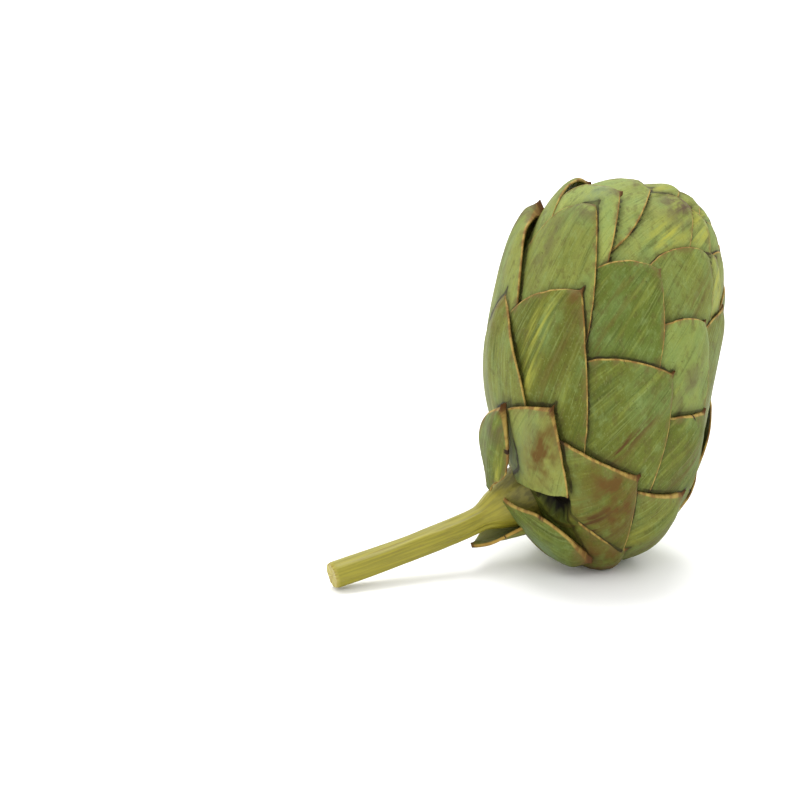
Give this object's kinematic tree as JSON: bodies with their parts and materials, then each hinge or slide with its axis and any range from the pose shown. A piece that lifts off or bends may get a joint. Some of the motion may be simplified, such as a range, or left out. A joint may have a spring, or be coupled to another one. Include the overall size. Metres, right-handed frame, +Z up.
{
  "type": "artichoke",
  "caption": "Whole globe artichoke lying on its side bracts, with overlapping scale-like bracts round a closed head and a short ribbed cut stem.",
  "frame": {"origin": "on the table, under the middle of the whole artichoke's box", "axes": "+Z up; +X the level direction in which the head points, away from its stem; +Y to the left of that"},
  "size_m": [0.1249, 0.0744, 0.1138],
  "materials": {
    "bracts": "waxy green bracts with a grey bloom, fine lengthwise veins, tan rims and purple-brown tips",
    "stem": "yellow-green ribbed stalk, with a paler fibrous cut end"
  },
  "bodies": {
    "root": {"flower_head": "bracts", "stem": "stem"}
  },
  "joints": []
}
